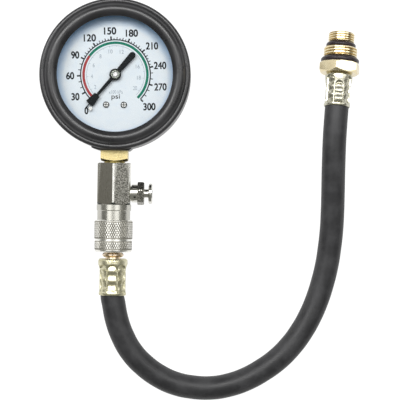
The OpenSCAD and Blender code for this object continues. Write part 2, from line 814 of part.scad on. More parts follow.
module coupler_body() {
  color(nickel) difference() {
    union() {
      on_stem(d_coupler - tenon_len) cylinder(h = tenon_len + 1, r = tenon_r);
      on_stem(d_coupler) chamfered(flange_len, barrel_r + ring_in, 0.35);
      on_stem(d_barrel - 0.5) cylinder(h = d_shoulder - d_barrel + 0.5, r = barrel_r);
      on_stem(d_shoulder - 0.5) cylinder(h = d_nose - d_shoulder + 0.5, r = nose_r);
    }
    on_stem(d_coupler - tenon_len - 1) cylinder(h = d_nose - d_coupler, r = passage_r);
    on_stem(d_seal - 2.6) cylinder(h = 30, r = plug_bore_r);
    on_stem(d_seal) torus(plug_bore_r + seal_r, seal_r + seat);
    on_stem(d_land_end + run - seat) difference() {
      cylinder(h = ring_t + 2 * seat, r = nose_r + 1);
      translate([0, 0, -1]) cylinder(h = 4, r = nose_r - ring_in);
    }
    for (i = [0 : ball_count - 1])
      on_stem(d_ball) rotate(i * 360 / ball_count) rotate([0, 90, 0])
        cylinder(h = nose_r + 1, r = ball_r + run);
  }
}

// the sleeve's inner land holds the balls in until it is drawn back
module coupler_sleeve() {
  color(nickel) on_stem(d_sleeve) difference() {
    rotate_extrude() polygon([
      [0, 0],
      [sleeve_r - edge, 0],
      [sleeve_r, edge],
      [sleeve_r, groove_at],
      [sleeve_r - groove_deep, groove_at],
      [sleeve_r - groove_deep, groove_at + groove_w],
      [sleeve_r - sleeve_step, groove_at + groove_w],
      [sleeve_r - sleeve_step, sleeve_len - 1.8 * edge],
      [sleeve_r - sleeve_step - 0.5 * edge, sleeve_len - 0.6 * edge],
      [sleeve_r - sleeve_step - 1.4 * edge, sleeve_len],
      [0, sleeve_len]
    ]);
    translate([0, 0, -1]) cylinder(h = land_at + 1, r = barrel_r + run);
    translate([0, 0, -1]) cylinder(h = 30, r = land_r);
    translate([0, 0, land_at + land_len]) cylinder(h = 10, r = nose_r + ring_room);
  }
}

module sleeve_spring() {
  color(steel) on_stem(d_shoulder) coil(d_land - d_shoulder, (barrel_r + nose_r) / 2, 0.35, 3.5);
}

module locking_balls() {
  color(steel) for (i = [0 : ball_count - 1])
    on_stem(d_ball) rotate(i * 360 / ball_count) translate([ball_ring_r, 0, 0]) sphere(r = ball_r, $fn = 32);
}

module retaining_ring() {
  color(steel) on_stem(d_land_end + run) tube_between(0, ring_t, nose_r - ring_in + seat, nose_r + ring_out);
}

module coupler_seal() {
  color(black) on_stem(d_seal) torus(plug_bore_r + seal_r, seal_r);
}

// hose

// shank with its ball groove, round collar, neck and barbed tail
module hose_plug() {
  color(brass) difference() {
    union() {
      on_stem(d_seal - 2) chamfered(d_collar - d_seal + 2.4, plug_r, 0.5);
      on_stem(d_collar) chamfered(collar_len, plug_r + 1.25, 0.85);
      on_stem(d_collar + 2) cylinder(h = d_ferrule - d_collar + wall_t - 2, r = tail_neck_r);
      on_stem(d_ferrule) cylinder(h = gauge_ferrule_len - 1.6, r = barb_r);
    }
    on_stem(d_ball) torus(ball_ring_r, ball_r + run);
    on_stem(d_seal - 3) cylinder(h = 60, r = 1.6);
  }
}

// a crimped ferrule standing on its closed end: shoulder, eight pressed flats and a flared mouth
module ferrule(h, shoulder_r, crimp_r, mouth_r) {
  difference() {
    union() {
      chamfered(3.6, shoulder_r, 0.7);
      translate([0, 0, 3]) intersection() {
        cylinder(h = h - 5, r = crimp_r + 0.3);
        rotate(22.5) cylinder(h = h - 5, r = crimp_r / cos(22.5), $fn = 8);
      }
      translate([0, 0, h - 2.4]) chamfered(2.4, mouth_r, 0.5);
    }
    for (k = [1, 2]) translate([0, 0, 4 + (h - 7) * k / 3]) torus(crimp_r + 1.05, 1.2);
    translate([0, 0, -1]) cylinder(h = h, r = tail_neck_r + seat);
    translate([0, 0, wall_t]) cylinder(h = h, r = squeezed_r + seat);
    translate([0, 0, h - mouth_len]) cylinder(h = mouth_len + 0.01, r1 = squeezed_r + seat, r2 = hose_r + seat);
  }
}

module gauge_ferrule() {
  color(brass) on_stem(d_ferrule) ferrule(gauge_ferrule_len, hose_r + 1.4, hose_r + 0.6, hose_r + 0.9);
}

module hose() {
  color(rubber) swept(hose_line, hose_radii, hose_bore_r, hose_sides);
}

module adapter_ferrule() {
  color(brass) on_adapter(hex_back_s) rotate([180, 0, 0])
    ferrule(adapter_ferrule_len, hose_r + 0.5, hose_r, hose_r + 0.65);
}

// barbed tail, hexagon, large thread and small thread turned from one bar
module adapter() {
  color(brass) difference() {
    union() {
      on_adapter(mouth_s + 1.6) cylinder(h = hex_back_s - mouth_s, r = barb_r);
      on_adapter(hex_back_s - wall_t) cylinder(h = wall_t + 0.5, r = tail_neck_r);
      on_adapter(hex_back_s) rotate(hex_turn)
        hex_bar(hex_s - hex_back_s, adapter_af, adapter_af / 2 - 0.4, 0.1);
      on_adapter(hex_s - 0.5) cylinder(h = 2 * large_ring_t + 1.1, r = large_ring_r - large_ring_t - seat);
      on_adapter(large_ring_t + 0.05) chamfered(thread_len, large_thread_r, 0.6);
      on_adapter(large_ring_t + 0.5)
        cylinder(h = thread_len + 2 * small_ring_t + 0.1, r = small_ring_r - small_ring_t - seat);
      on_adapter(nose_s - thread_len) chamfered(thread_len, small_thread_r, 0.7);
    }
    on_adapter(mouth_s) cylinder(h = 60, r = 1.6);
    on_adapter(core_s - 4) cylinder(h = 20, r = 2.6);
    on_adapter(core_s) cylinder(h = 20, r = core_r + seat);
  }
}

module large_ring() {
  color(black) on_adapter(0) torus(large_ring_r, large_ring_t);
}

module small_ring() {
  color(black) on_adapter(small_ring_s) torus(small_ring_r, small_ring_t);
}

module check_body() {
  color(brass) on_adapter(core_s) difference() {
    cylinder(h = core_end_s - core_s, r = core_r);
    translate([0, 0, -1]) cylinder(h = 20, r = check_rod_r + run);
    translate([0, 0, core_step_s - core_s]) cylinder(h = 20, r = 1.9);
  }
}

// rod with the valve disc on the hose side and the spring's cap on the nose side
module check_pin() {
  color(steel) {
    on_adapter(core_s - 0.8) cylinder(h = core_end_s - core_s + 1.6, r = check_rod_r);
    on_adapter(core_s - 0.8) cylinder(h = 0.8, r = 2.2);
    on_adapter(core_end_s) cylinder(h = 0.8, r = 1.7);
  }
}

module check_spring() {
  color(steel) on_adapter(core_step_s) coil(core_end_s - core_step_s, 1.4, 0.2, 4);
}

boot();
case();
case_screws();
bezel_ring();
lens();
lens_gasket();
dial();
dial_posts();
dial_screws();
stop_pin();
pointer();
pointer_bush();
pinion_arbor();
sector_gear();
link();
hairspring();
bourdon_tube();
socket();
bottom_plate();
top_plate();
plate_pillars();
plate_screws();
valve_block();
release_body();
release_button();
release_spring();
release_seal();
coupler_body();
coupler_sleeve();
sleeve_spring();
locking_balls();
retaining_ring();
coupler_seal();
hose_plug();
gauge_ferrule();
hose();
adapter_ferrule();
adapter();
large_ring();
small_ring();
check_body();
check_pin();
check_spring();
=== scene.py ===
import math

import bmesh
import bpy
import numpy as np
from mathutils import Matrix, Vector


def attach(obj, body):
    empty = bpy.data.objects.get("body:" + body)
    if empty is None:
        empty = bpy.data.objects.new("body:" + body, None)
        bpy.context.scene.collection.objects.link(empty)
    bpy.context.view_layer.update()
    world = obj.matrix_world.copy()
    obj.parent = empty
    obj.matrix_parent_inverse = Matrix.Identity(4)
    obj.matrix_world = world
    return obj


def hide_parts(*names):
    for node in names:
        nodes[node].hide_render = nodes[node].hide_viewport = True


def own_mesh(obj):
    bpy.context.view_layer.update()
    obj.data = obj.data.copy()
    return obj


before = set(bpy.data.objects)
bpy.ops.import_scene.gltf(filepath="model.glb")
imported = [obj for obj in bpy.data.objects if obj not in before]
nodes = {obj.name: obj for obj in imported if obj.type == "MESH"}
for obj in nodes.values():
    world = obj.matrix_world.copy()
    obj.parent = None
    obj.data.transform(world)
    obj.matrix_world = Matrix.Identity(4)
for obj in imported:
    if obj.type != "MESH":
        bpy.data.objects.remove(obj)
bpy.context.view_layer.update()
scene = bpy.context.scene
mm = 0.001
print("frame loaded:", len(nodes), "nodes")


# camera and studio

shot = {
    "centre": (46.07, -65.82, 914),  # mm, straight above the table
    "roll": 1.0,                     # degrees
    "sensor": 36,                    # mm
    "focal": 1682 / 400,             # times the sensor's width
}
camData = bpy.data.cameras.new("shotCamera")
camData.lens = shot["focal"] * shot["sensor"]
camData.sensor_width = shot["sensor"]
camData.clip_start, camData.clip_end = 0.05, 20
camObj = bpy.data.objects.new("shotCamera", camData)
camObj.location = Vector(shot["centre"]) * mm
camObj.rotation_euler = (0, 0, math.radians(shot["roll"]))
scene.collection.objects.link(camObj)
scene.camera = camObj

studio = {
    "boxHeight": 2.0,      # m above the table
    "gapMiddle": -0.02,    # where the gap between the two boxes lies
    "gapHalf": 0.42,
    "boxWidth": 1.35,
    "boxLength": 0.8,
    "boxShift": 0.05,      # towards the top of the picture
    "radiance": 1.5,
    "gapRadiance": 0.38,   # dim panel in the gap
    "gapLift": 0.05,       # the panel lies above the boxes
    # big lamp beyond the dial, then the cards that light the adapter's flats
    "head": {"at": (-0.5, 0.85, 2.0), "size": (3.0, 0.9), "radiance": 6.75},
    "cardRight": {"at": (0.62, 0.19, 0.5), "size": (0.3, 0.3), "radiance": 2.15},
    "cardLeft": {"at": (-0.48, 0.16, 0.19), "size": (0.24, 0.3), "radiance": 0.8},
    "cardAim": (0.12, 0.0, 0.012),
    "room": (0.2, 0.2, 0.182),
    "floorHalf": 3,
    "floorDrop": 0.0002,
    "floorTone": 0.12,
    "floorGlow": 1.0,      # what the camera sees
    "floorBounce": 0.8,    # what the object sees
}


def softBox(name, middle, size, radiance, turn=(0, 0, 0)):
    data = bpy.data.lights.new(name, "AREA")
    data.shape = "RECTANGLE"
    data.size, data.size_y = size
    data.energy = radiance * math.pi * size[0] * size[1]
    obj = bpy.data.objects.new(name, data)
    obj.location = middle
    obj.rotation_euler = turn
    scene.collection.objects.link(obj)


for side in (-1, 1):
    reach = studio["gapHalf"] + studio["boxWidth"] / 2
    softBox("boxLeft" if side < 0 else "boxRight",
            (studio["gapMiddle"] + side * reach, studio["boxShift"], studio["boxHeight"]),
            (studio["boxWidth"], studio["boxLength"]), studio["radiance"])
softBox("boxMiddle", (studio["gapMiddle"], studio["boxShift"], studio["boxHeight"] + studio["gapLift"]),
        (2 * studio["gapHalf"], studio["boxLength"]), studio["gapRadiance"])
lamp = studio["head"]
softBox("head", lamp["at"], lamp["size"], lamp["radiance"])
for name in ("cardRight", "cardLeft"):
    lamp = studio[name]
    way = Vector(studio["cardAim"]) - Vector(lamp["at"])
    softBox(name, lamp["at"], lamp["size"], lamp["radiance"], way.to_track_quat("-Z", "Y").to_euler())

world = bpy.data.worlds.new("studioRoom")
scene.world = world
world.use_nodes = True
world.node_tree.nodes["Background"].inputs["Color"].default_value = (*studio["room"], 1)
scene.view_settings.view_transform = "Standard"
print("camera and lights set")


# shader groups that several finishes share

def newGroup(name, inputs, outputs):
    group = bpy.data.node_groups.new(name, "ShaderNodeTree")
    for label, kind, value in inputs:
        socket = group.interface.new_socket(name=label, in_out="INPUT", socket_type="NodeSocket" + kind)
        socket.default_value = value
    for label, kind in outputs:
        group.interface.new_socket(name=label, in_out="OUTPUT", socket_type="NodeSocket" + kind)
    return group, group.nodes.new("NodeGroupInput"), group.nodes.new("NodeGroupOutput")


def mathNode(tree, kind, a, b=None, clamp=False):
    node = tree.nodes.new("ShaderNodeMath")
    node.operation = kind
    node.use_clamp = clamp
    for i, value in enumerate((a, b)):
        if value is None:
            continue
        if isinstance(value, (int, float)):
            node.inputs[i].default_value = value
        else:
            tree.links.new(value, node.inputs[i])
    return node.outputs[0]


def noiseNode(tree, vector, scale, detail=4.0, rough=0.55):
    node = tree.nodes.new("ShaderNodeTexNoise")
    node.inputs["Detail"].default_value = detail
    node.inputs["Roughness"].default_value = rough
    tree.links.new(vector, node.inputs["Vector"])
    if isinstance(scale, (int, float)):
        node.inputs["Scale"].default_value = scale
    else:
        tree.links.new(scale, node.inputs["Scale"])
    return node.outputs["Fac"]


def rangeNode(tree, value, low, high, toLow, toHigh):
    node = tree.nodes.new("ShaderNodeMapRange")
    sockets = ("Value", "From Min", "From Max", "To Min", "To Max")
    for socket, item in zip(sockets, (value, low, high, toLow, toHigh)):
        if isinstance(item, (int, float)):
            node.inputs[socket].default_value = item
        else:
            tree.links.new(item, node.inputs[socket])
    return node.outputs["Result"]


def mixColor(tree, factor, a, b):
    node = tree.nodes.new("ShaderNodeMix")
    node.data_type = "RGBA"
    for socket, item in ((node.inputs["Factor"], factor), (node.inputs[6], a), (node.inputs[7], b)):
        if isinstance(item, (int, float, tuple)):
            socket.default_value = item
        else:
            tree.links.new(item, socket)
    return node.outputs[2]  # 6, 7 and 2 are the colour sockets


def objectPlace(tree, stretch=None):
    place = tree.nodes.new("ShaderNodeTexCoord").outputs["Object"]
    if stretch is None:
        return place
    node = tree.nodes.new("ShaderNodeVectorMath")
    node.operation = "MULTIPLY"
    tree.links.new(place, node.inputs[0])
    tree.links.new(stretch, node.inputs[1])
    return node.outputs[0]


# worn plate or bare metal: cloudy tone, fine grain for gloss and relief
handledGroup, gin, gout = newGroup("handledMetal", [
    ("Clean", "Color", (0.8, 0.8, 0.8, 1)), ("Dull", "Color", (0.5, 0.5, 0.5, 1)),
    ("Cloud Size", "Float", 120.0), ("Grain Size", "Float", 2500.0), ("Dulling", "Float", 0.5),
    ("Gloss Low", "Float", 0.15), ("Gloss High", "Float", 0.3), ("Stretch", "Vector", (1, 1, 1)),
], [("Color", "Color"), ("Roughness", "Float"), ("Height", "Float")])
place = objectPlace(handledGroup, gin.outputs["Stretch"])
cloud = noiseNode(handledGroup, place, gin.outputs["Cloud Size"], 5)
grain = noiseNode(handledGroup, place, gin.outputs["Grain Size"], 3)
cloudMask = rangeNode(handledGroup, cloud, 0.38, 0.68, 0, 1)
grainMask = rangeNode(handledGroup, grain, 0.3, 0.7, 0, 1)
both = mathNode(handledGroup, "ADD", mathNode(handledGroup, "MULTIPLY", cloudMask, 0.65),
                mathNode(handledGroup, "MULTIPLY", grainMask, 0.35))
dulling = mathNode(handledGroup, "MULTIPLY", both, gin.outputs["Dulling"], True)
metalTone = mixColor(handledGroup, dulling, gin.outputs["Clean"], gin.outputs["Dull"])
handledGroup.links.new(metalTone, gout.inputs["Color"])
metalGloss = rangeNode(handledGroup, both, 0, 1, gin.outputs["Gloss Low"], gin.outputs["Gloss High"])
handledGroup.links.new(metalGloss, gout.inputs["Roughness"])
handledGroup.links.new(grain, gout.inputs["Height"])

# moulded rubber: dusty bloom over a fine pebbled skin
rubberGroup, gin, gout = newGroup("mouldedRubber", [
    ("Body", "Color", (0.02, 0.02, 0.022, 1)), ("Bloom", "Color", (0.05, 0.05, 0.055, 1)),
    ("Bloom Size", "Float", 60.0), ("Pebble Size", "Float", 2200.0),
    ("Gloss Low", "Float", 0.45), ("Gloss High", "Float", 0.65),
], [("Color", "Color"), ("Roughness", "Float"), ("Height", "Float")])
place = objectPlace(rubberGroup)
bloom = rangeNode(rubberGroup, noiseNode(rubberGroup, place, gin.outputs["Bloom Size"], 6), 0.4, 0.7, 0, 1)
pebble = noiseNode(rubberGroup, place, gin.outputs["Pebble Size"], 2)
rubberTone = mixColor(rubberGroup, bloom, gin.outputs["Body"], gin.outputs["Bloom"])
rubberGroup.links.new(rubberTone, gout.inputs["Color"])
rubberGloss = rangeNode(rubberGroup, bloom, 0, 1, gin.outputs["Gloss Low"], gin.outputs["Gloss High"])
rubberGroup.links.new(rubberGloss, gout.inputs["Roughness"])
rubberGroup.links.new(pebble, gout.inputs["Height"])
print("shader groups made")


# finishes

def finish(name, group, values, shader, bump=0.1, bumpDepth=0.00005):
    mat = bpy.data.materials.new(name)
    mat.use_nodes = True
    tree = mat.node_tree
    bsdf = tree.nodes["Principled BSDF"]
    for socket, value in shader.items():
        bsdf.inputs[socket].default_value = value
    node = tree.nodes.new("ShaderNodeGroup")
    node.node_tree = group
    for socket, value in values.items():
        node.inputs[socket].default_value = value
    tree.links.new(node.outputs["Color"], bsdf.inputs["Base Color"])
    tree.links.new(node.outputs["Roughness"], bsdf.inputs["Roughness"])
    if bump:
        relief = tree.nodes.new("ShaderNodeBump")
        relief.inputs["Strength"].default_value = bump
        relief.inputs["Distance"].default_value = bumpDepth
        tree.links.new(node.outputs["Height"], relief.inputs["Height"])
        tree.links.new(relief.outputs["Normal"], bsdf.inputs["Normal"])
    return mat


def tint(r, g, b):
    return (r, g, b, 1)


metal = {"Metallic": 1.0}
finishes = {
    "bootRubber": finish("bootRubber", rubberGroup, {
        "Body": tint(0.019, 0.019, 0.021), "Bloom": tint(0.034, 0.034, 0.037), "Bloom Size": 70,
        "Pebble Size": 1800, "Gloss Low": 0.27, "Gloss High": 0.38}, {"Specular IOR Level": 0.6}, 0.3),
    "hoseRubber": finish("hoseRubber", rubberGroup, {
        "Body": tint(0.026, 0.026, 0.028), "Bloom": tint(0.047, 0.047, 0.05), "Bloom Size": 120,
        "Pebble Size": 1500, "Gloss Low": 0.38, "Gloss High": 0.54}, {"Specular IOR Level": 0.35}, 0.6),
    "sealRubber": finish("sealRubber", rubberGroup, {
        "Body": tint(0.020, 0.012, 0.014), "Bloom": tint(0.034, 0.023, 0.027), "Bloom Size": 200,
        "Pebble Size": 3000, "Gloss Low": 0.3, "Gloss High": 0.42}, {}, 0.1),
    "pressedSteel": finish("pressedSteel", handledGroup, {
        "Clean": tint(0.5, 0.51, 0.53), "Dull": tint(0.36, 0.37, 0.38), "Stretch": (1, 1, 0.2)}, metal),
    "screwSteel": finish("screwSteel", handledGroup, {
        "Clean": tint(0.6, 0.61, 0.63), "Dull": tint(0.4, 0.4, 0.42)}, metal),
    "brightNickel": finish("brightNickel", handledGroup, {
        "Clean": tint(0.84, 0.83, 0.775), "Dull": tint(0.66, 0.65, 0.59), "Cloud Size": 160, "Dulling": 0.45,
        "Gloss Low": 0.11, "Gloss High": 0.2}, metal, 0.06),
    "satinNickel": finish("satinNickel", handledGroup, {
        "Clean": tint(0.61, 0.6, 0.55), "Dull": tint(0.46, 0.45, 0.4), "Cloud Size": 220, "Dulling": 0.5,
        "Gloss Low": 0.22, "Gloss High": 0.31}, metal, 0.08),
    # bright nickel of the knurled sleeve, also used as a painted highlight on the valve block's corners and
    # side
    "knurlAndHighlightNickel": finish("knurlAndHighlightNickel", handledGroup, {
        "Clean": tint(0.97, 0.96, 0.91), "Dull": tint(0.84, 0.83, 0.77), "Cloud Size": 300, "Dulling": 0.4,
        "Gloss Low": 0.21, "Gloss High": 0.31}, metal, 0.06),
    # painted shade: dark nickel on the knurl's flanks, for the shade in its grooves
    "knurlPaintedShadeNickel": finish("knurlPaintedShadeNickel", handledGroup, {
        "Clean": tint(0.4, 0.385, 0.34), "Dull": tint(0.26, 0.25, 0.215), "Cloud Size": 300, "Dulling": 0.7,
        "Gloss Low": 0.45, "Gloss High": 0.6}, metal, 0.1),
    "screwNickel": finish("screwNickel", handledGroup, {
        "Clean": tint(0.86, 0.87, 0.86), "Dull": tint(0.5, 0.5, 0.5), "Cloud Size": 900, "Dulling": 0.6,
        "Gloss Low": 0.2, "Gloss High": 0.32}, metal, 0.2),
    "bushSteel": finish("bushSteel", handledGroup, {
        "Clean": tint(0.5, 0.54, 0.48), "Dull": tint(0.3, 0.33, 0.29), "Cloud Size": 900, "Dulling": 0.5,
        "Gloss Low": 0.16, "Gloss High": 0.28}, metal, 0.1),
    # painted shade: near-black steel for slots, grooves and the valve block's lower end
    "paintedShadeSteel": finish("paintedShadeSteel", handledGroup, {
        "Clean": tint(0.09, 0.1, 0.095), "Dull": tint(0.05, 0.055, 0.052), "Cloud Size": 900, "Dulling": 0.6,
        "Gloss Low": 0.3, "Gloss High": 0.45}, metal, 0.1),
    "greyNickel": finish("greyNickel", handledGroup, {
        "Clean": tint(0.81, 0.795, 0.72), "Dull": tint(0.05, 0.047, 0.039), "Cloud Size": 1750,
        "Grain Size": 3100, "Dulling": 1.35, "Gloss Low": 0.28, "Gloss High": 0.42,
        "Stretch": (1, 0.75, 1)}, metal, 0.8, 0.00014),
    # painted shade: a darker copy of the block's nickel, for its left flat
    "paintedShadeNickel": finish("paintedShadeNickel", handledGroup, {
        "Clean": tint(0.42, 0.4, 0.35), "Dull": tint(0.2, 0.19, 0.16), "Cloud Size": 900, "Grain Size": 1900,
        "Dulling": 0.8, "Gloss Low": 0.26, "Gloss High": 0.36, "Stretch": (1, 0.4, 1)}, metal, 0.15),
    "stemBrass": finish("stemBrass", handledGroup, {
        "Clean": tint(0.83, 0.71, 0.38), "Dull": tint(0.5, 0.38, 0.14), "Cloud Size": 900, "Grain Size": 2200,
        "Dulling": 0.8, "Gloss Low": 0.24, "Gloss High": 0.4}, metal, 0.25),
    # painted shade: a darker copy of the stem's brass, for its turned end and neck
    "paintedShadeBrass": finish("paintedShadeBrass", handledGroup, {
        "Clean": tint(0.36, 0.29, 0.1), "Dull": tint(0.2, 0.15, 0.045), "Cloud Size": 500, "Dulling": 0.7,
        "Gloss Low": 0.3, "Gloss High": 0.45}, metal, 0.2),
    "adapterBrass": finish("adapterBrass", handledGroup, {
        "Clean": tint(0.9, 0.8, 0.55), "Dull": tint(0.76, 0.61, 0.35), "Cloud Size": 260, "Dulling": 0.5,
        "Gloss Low": 0.16, "Gloss High": 0.26}, metal, 0.08),
    # painted shade: dark brass in the roots of the adapter's threads
    "threadPaintedShadeBrass": finish("threadPaintedShadeBrass", handledGroup, {
        "Clean": tint(0.72, 0.58, 0.31), "Dull": tint(0.46, 0.34, 0.15), "Cloud Size": 500, "Dulling": 0.8,
        "Gloss Low": 0.25, "Gloss High": 0.4}, metal, 0.1),
    "plugBrass": finish("plugBrass", handledGroup, {
        "Clean": tint(0.94, 0.78, 0.6), "Dull": tint(0.72, 0.54, 0.36), "Cloud Size": 260, "Dulling": 0.5,
        "Gloss Low": 0.2, "Gloss High": 0.32}, metal, 0.1),
    "movementBrass": finish("movementBrass", handledGroup, {
        "Clean": tint(0.8, 0.62, 0.3), "Dull": tint(0.6, 0.44, 0.18)}, metal),
    "ferruleZinc": finish("ferruleZinc", handledGroup, {
        "Clean": tint(0.86, 0.83, 0.64), "Dull": tint(0.5, 0.46, 0.25), "Cloud Size": 620, "Grain Size": 1800,
        "Dulling": 0.95, "Gloss Low": 0.27, "Gloss High": 0.42}, metal, 0.5, 0.00014),
    "paleZinc": finish("paleZinc", handledGroup, {
        "Clean": tint(0.77, 0.755, 0.64), "Dull": tint(0.38, 0.36, 0.25), "Cloud Size": 620,
        "Grain Size": 1800, "Dulling": 0.95, "Gloss Low": 0.22, "Gloss High": 0.38}, metal, 0.5, 0.00014),
    "pointerPaint": finish("pointerPaint", rubberGroup, {
        "Body": tint(0.004, 0.007, 0.009), "Bloom": tint(0.007, 0.011, 0.014), "Pebble Size": 3500,
        "Gloss Low": 0.5, "Gloss High": 0.62}, {"Specular IOR Level": 0.15}, 0.05),
    "windowGlass": finish("windowGlass", rubberGroup, {
        "Body": tint(0.015, 0.018, 0.02), "Bloom": tint(0.02, 0.024, 0.027), "Bloom Size": 30,
        "Pebble Size": 400, "Gloss Low": 0.02, "Gloss High": 0.05}, {"IOR": 1.49}, 0),
}

inkTone = {
    "scaleInk": ((0.014, 0.018, 0.022), (0.022, 0.027, 0.033)),
    "paleInk": ((0.36, 0.43, 0.5), (0.44, 0.52, 0.6)),
    "redInk": ((0.42, 0.06, 0.065), (0.48, 0.08, 0.085)),
    "greenInk": ((0.012, 0.2, 0.125), (0.02, 0.26, 0.17)),
}
for label, (dark, light) in inkTone.items():
    finishes[label] = finish(label, rubberGroup, {
        "Body": tint(*dark), "Bloom": tint(*light), "Bloom Size": 300, "Pebble Size": 3500,
        "Gloss Low": 0.5, "Gloss High": 0.62}, {"Specular IOR Level": 0.15}, 0.03)

# the window is clear seen straight on and closes at a slant
glassAlpha = (0.03, 0.6)
glassTree = finishes["windowGlass"].node_tree
facing = glassTree.nodes.new("ShaderNodeLayerWeight")
facing.inputs["Blend"].default_value = 0.5
glassTree.links.new(rangeNode(glassTree, facing.outputs["Facing"], 0, 1, *glassAlpha),
                    glassTree.nodes["Principled BSDF"].inputs["Alpha"])

# enamel of the dial: white, with painted shade that turns it a darker blue towards its rim and reaches
# further in at the top, standing in for the shadow of the boot's lip
enamel = {
    # rim is the colour of the painted shadow at the dial's edge
    "inner": (0.86, 0.94, 1.0, 1), "rim": (0.34, 0.61, 0.98, 1),
    "shadeFrom": 0.0272, "shadeTo": 0.0325,  # m from the painted shade's middle
    "lean": 0.0016,                        # m, the painted shade's middle lies this far below the dial's, so the shade is wider at the top
    "mottleSize": 260, "mottle": (-0.06, 0.08), "gloss": (0.4, 0.52),
}
dialMat = bpy.data.materials.new("dialEnamel")
dialMat.use_nodes = True
dialTree = dialMat.node_tree
dialShader = dialTree.nodes["Principled BSDF"]
place = objectPlace(dialTree)
split = dialTree.nodes.new("ShaderNodeSeparateXYZ")
dialTree.links.new(place, split.inputs[0])
shadeLeanY = mathNode(dialTree, "ADD", split.outputs[1], enamel["lean"])
squares = [mathNode(dialTree, "POWER", way, 2.0) for way in (split.outputs[0], shadeLeanY)]
fromAxis = mathNode(dialTree, "SQRT", mathNode(dialTree, "ADD", *squares))
mottle = noiseNode(dialTree, place, enamel["mottleSize"], 4)
# painted shade: the enamel is mixed towards the dark blue rim colour with distance from the shifted middle
paintedRimShade = mathNode(dialTree, "ADD", rangeNode(dialTree, fromAxis, enamel["shadeFrom"], enamel["shadeTo"], 0, 0.9),
                rangeNode(dialTree, mottle, 0.3, 0.7, *enamel["mottle"]), True)
dialTree.links.new(mixColor(dialTree, paintedRimShade, enamel["inner"], enamel["rim"]), dialShader.inputs["Base Color"])
dialTree.links.new(rangeNode(dialTree, mottle, 0.3, 0.7, *enamel["gloss"]), dialShader.inputs["Roughness"])
finishes["dialEnamel"] = dialMat
print("finishes made:", len(finishes))


# finishes of the CAD nodes

nodeFinish = {
    "bootRubber": ["boot"],
    "pressedSteel": ["case", "bezel_ring"],
    "screwSteel": ["case_screws", "plate_screws", "pinion_arbor", "hairspring", "release_spring",
                   "sleeve_spring", "locking_balls", "retaining_ring", "check_pin", "check_spring"],
    "windowGlass": ["lens"],
    "sealRubber": ["lens_gasket", "release_seal", "coupler_seal", "large_ring", "small_ring"],
    "dialEnamel": ["dial"],
    "pointerPaint": ["pointer"],
    "brightNickel": ["release_button"],
    "satinNickel": ["coupler_body", "coupler_sleeve"],
    "screwNickel": ["dial_screws", "pointer_bush", "stop_pin"],
    "greyNickel": ["valve_block", "release_body"],
    "stemBrass": ["socket"],
    "plugBrass": ["hose_plug"],
    "adapterBrass": ["adapter"],
    "movementBrass": ["dial_posts", "sector_gear", "link", "bourdon_tube", "bottom_plate", "top_plate",
                      "plate_pillars", "check_body"],
    "ferruleZinc": ["gauge_ferrule"],
    "paleZinc": ["adapter_ferrule"],
    "hoseRubber": ["hose"],
}
for label, names in nodeFinish.items():
    for name in names:
        nodes[name].data.materials.clear()
        nodes[name].data.materials.append(finishes[label])

# the block's flats differ: the one on the left is smoother and gets painted shade, a darker copy of the
# nickel; the lower end gets painted shade;
# the turned corners get a brighter finish that is also a painted highlight, and the valve's side gets a
# painted highlight
stemHeight = 0.013    # m, the stem's axis over the table
cornerReach = 0.0092  # m from that axis
blockMesh = nodes["valve_block"].data
for label in ("paintedShadeNickel", "knurlAndHighlightNickel", "paintedShadeSteel"):
    blockMesh.materials.append(finishes[label])
for poly in blockMesh.polygons:
    away = Vector((poly.center.x, poly.center.z - stemHeight)).length
    n = poly.normal
    shadedLeftFlat = abs(n.y) < 0.1 and n.x < -0.5 and n.z > 0.1
    shadedLowerEnd = n.y < -0.3
    highlightedValveSide = n.x > 0.9
    # index 1 is painted shade, 3 is painted shade, 2 is a painted highlight
    if shadedLeftFlat:
        poly.material_index = 1
    elif shadedLowerEnd:
        poly.material_index = 3
    elif away > cornerReach or highlightedValveSide:
        poly.material_index = 2

# painted shade: the stem's turned end and its neck get a darker copy of the brass
turnedFrom, neckFrom = -0.042, -0.0461  # m along Y
stemMesh = nodes["socket"].data
stemMesh.materials.append(finishes["paintedShadeBrass"])
for poly in stemMesh.polygons:
    shadedEnd = poly.normal.y < -0.25 and poly.center.y < turnedFrom
    poly.material_index = 1 if shadedEnd or poly.center.y < neckFrom else 0

# the release valve's boss is bright, its outer collar stays grained
bossTo = 0.01255  # m along X
valveMesh = nodes["release_body"].data
valveMesh.materials.append(finishes["brightNickel"])
for poly in valveMesh.polygons:
    poly.material_index = 1 if poly.center.x < bossTo else 0

# small turned parts on the dial: painted shade, a near-black steel, in their slots and grooves
bushTone = {"pinReach": 0.00115, "pinFrom": 0.023, "grooveReach": 0.00162, "grooveFrom": 0.0222}  # m
bushMesh = nodes["pointer_bush"].data
bushMesh.materials.clear()
for label in ("bushSteel", "paintedShadeSteel", "screwNickel"):
    bushMesh.materials.append(finishes[label])
for poly in bushMesh.polygons:
    away, z = math.hypot(poly.center.x, poly.center.y), poly.center.z
    if away < bushTone["pinReach"] and z > bushTone["pinFrom"]:
        poly.material_index = 2
    elif away < bushTone["grooveReach"] and z > bushTone["grooveFrom"]:
        poly.material_index = 1
    else:
        poly.material_index = 0
slotTop = 0.02045  # m
screwMesh = nodes["dial_screws"].data
screwMesh.materials.append(finishes["paintedShadeSteel"])
for poly in screwMesh.polygons:
    poly.material_index = 1 if poly.normal.z < 0.5 or poly.center.z < slotTop else 0
print("CAD nodes finished")


# making pieces

